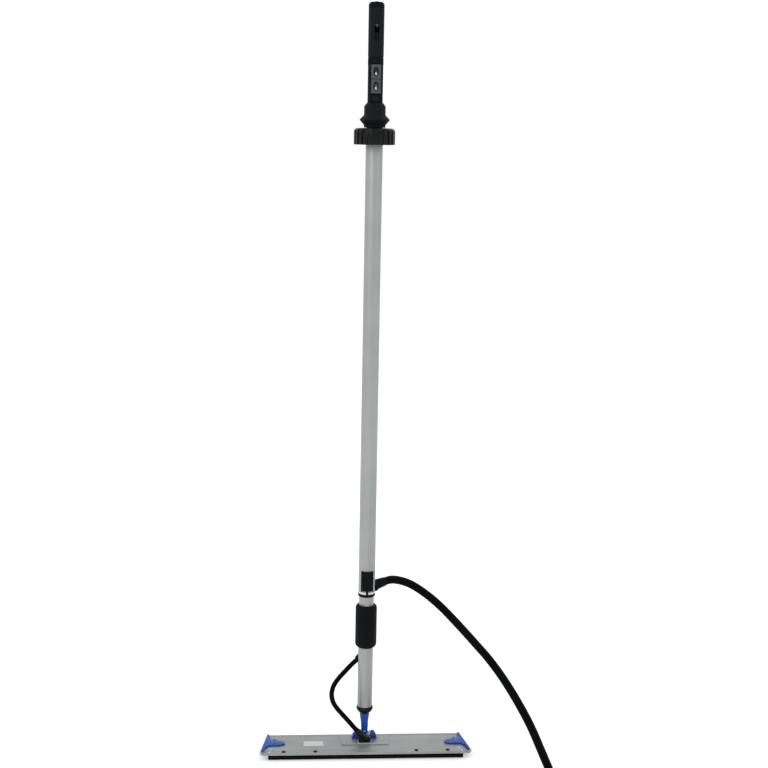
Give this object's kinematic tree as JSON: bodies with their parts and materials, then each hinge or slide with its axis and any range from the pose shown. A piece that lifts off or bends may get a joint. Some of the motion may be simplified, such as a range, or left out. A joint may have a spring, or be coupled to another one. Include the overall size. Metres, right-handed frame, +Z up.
{
  "type": "surface cleaner",
  "caption": "Fluid-fed flat surface cleaner: trapezoid aluminium head on a two-way swivel joint, telescopic pole, push-button grip and supply hose with connector.",
  "frame": {"origin": "on the floor under the pole's axis, on the hook strips' resting face", "axes": "+Z up along the upright pole; X along the head's long edges; -Y towards the long front edge and the keypad"},
  "size_m": [0.5543, 0.4667, 1.437],
  "materials": {
    "brushed_plate": "brushed and clear anodised",
    "anodised_tube": "satin anodised, drawn lengthways",
    "blue_plastic": "semi-gloss moulded",
    "black_plastic": "fine moulded texture",
    "gloss_black": "semi-gloss moulded",
    "sole_rubber": "matt cellular rubber",
    "grip_rubber": "soft-touch matt",
    "hose_rubber": "smooth extruded, slightly glossy",
    "hook_tape": "dense hook pile",
    "key_plastic": "dark grey moulded",
    "steel": "turned",
    "black_steel": "black oxide",
    "cast_zinc": "tumbled zinc casting",
    "polished_steel": "polished",
    "natural_plastic": "natural moulded",
    "grey_gasket": "moulded silicone",
    "board_green": "solder mask"
  },
  "bodies": {
    "pole": {"yoke": "blue_plastic", "roll_pin": "steel", "yoke_rivet": "steel", "end_cap": "gloss_black", "lower_tube": "anodised_tube", "link_grommet": "black_plastic", "link_hose": "hose_rubber", "coupling_core": "natural_plastic", "coupling_collar": "steel", "coupling_spring": "steel", "middle_tube": "anodised_tube", "end_ring": "black_plastic", "ferrule_ring": "polished_steel", "upper_tube": "anodised_tube", "latch_housing": "black_plastic", "latch_pin": "steel", "latch_spring": "steel", "hose_gland": "black_plastic", "feed_pipe": "natural_plastic", "supply_hose": "hose_rubber", "hose_coil": "hose_rubber", "hose_connector": "gloss_black", "clamp_collet": "natural_plastic"},
    "cross": {"cross_block": "cast_zinc", "link_hose_end": "hose_rubber"},
    "head": {"head_plate": "brushed_plate", "centre_plate": "brushed_plate", "sole_pad": "sole_rubber", "hook_strips": "hook_tape", "spray_rail": "natural_plastic", "sole_screws": "black_steel", "end_rivets": "steel", "clamp_brackets": "brushed_plate", "clamp_pins": "steel", "inlet_elbow": "gloss_black", "inlet_gasket": "grey_gasket", "joint_base": "blue_plastic", "joint_screws": "steel", "pitch_pin": "steel"},
    "left_clamp": {"clamp_lever_left": "blue_plastic"},
    "right_clamp": {"clamp_lever_right": "blue_plastic"},
    "sleeve": {"coupling_sleeve": "black_plastic"},
    "latch": {"latch_lever": "black_plastic"},
    "nut": {"lock_nut": "gloss_black"},
    "handle": {"handle_tube": "anodised_tube", "bell_socket": "gloss_black", "control_front": "black_plastic", "control_rear": "black_plastic", "keypad_bezel": "black_plastic", "switch_board": "board_green", "micro_switches": "natural_plastic", "switch_lead": "hose_rubber", "status_lens": "gloss_black", "grip_screws": "black_steel", "grip_sleeve": "grip_rubber", "grip_cap": "black_plastic"},
    "upper_key": {"button_upper": "key_plastic"},
    "lower_key": {"button_lower": "key_plastic"},
    "slide": {"slide_lock": "black_plastic"}
  },
  "joints": [
    {"name": "head_roll", "type": "hinge", "parent": "pole", "child": "cross", "pos_m": [0, 0, 0.031], "axis": [0, 1, 0], "range_deg": [-30, 30], "deforming": ["link_hose"]},
    {"name": "head_pitch", "type": "hinge", "parent": "cross", "child": "head", "pos_m": [0, 0, 0.023], "axis": [1, 0, 0], "range_deg": [-10, 55], "deforming": ["link_hose", "link_hose_end"]},
    {"name": "right_clamp_lift", "type": "hinge", "parent": "head", "child": "right_clamp", "pos_m": [0.19571, -0.0245, 0.0143], "axis": [-0.1663, 0.9861, 0], "range_deg": [0, 40]},
    {"name": "left_clamp_lift", "type": "hinge", "parent": "head", "child": "left_clamp", "pos_m": [-0.19571, -0.0245, 0.0143], "axis": [-0.1663, -0.9861, 0], "range_deg": [0, 40]},
    {"name": "coupling_release", "type": "slide", "parent": "pole", "child": "sleeve", "axis": [0, 0, 1], "range_m": [0, 0.01], "stiffness_N_per_m": 400, "springref_m": -0.004, "deforming": ["coupling_spring"]},
    {"name": "latch_rock", "type": "hinge", "parent": "pole", "child": "latch", "pos_m": [0, -0.0163, 0.332], "axis": [-1, 0, 0], "range_deg": [0, 8], "stiffness_Nm_per_rad": 0.5, "springref_deg": -5.73},
    {"name": "lock_nut_turn", "type": "hinge", "parent": "pole", "child": "nut", "pos_m": [0, 0, 1.19], "axis": [0, 0, 1], "range_deg": [0, 120]},
    {"name": "handle_slide", "type": "slide", "parent": "pole", "child": "handle", "axis": [0, 0, 1], "range_m": [0, 0.25]},
    {"name": "upper_key_press", "type": "slide", "parent": "handle", "child": "upper_key", "axis": [0, 1, 0], "range_m": [0, 0.0015], "stiffness_N_per_m": 800, "springref_m": -0.001},
    {"name": "lower_key_press", "type": "slide", "parent": "handle", "child": "lower_key", "axis": [0, 1, 0], "range_m": [0, 0.0015], "stiffness_N_per_m": 800, "springref_m": -0.001},
    {"name": "slide_lock_travel", "type": "slide", "parent": "handle", "child": "slide", "axis": [0, 0, 1], "range_m": [0, 0.008]}
  ]
}
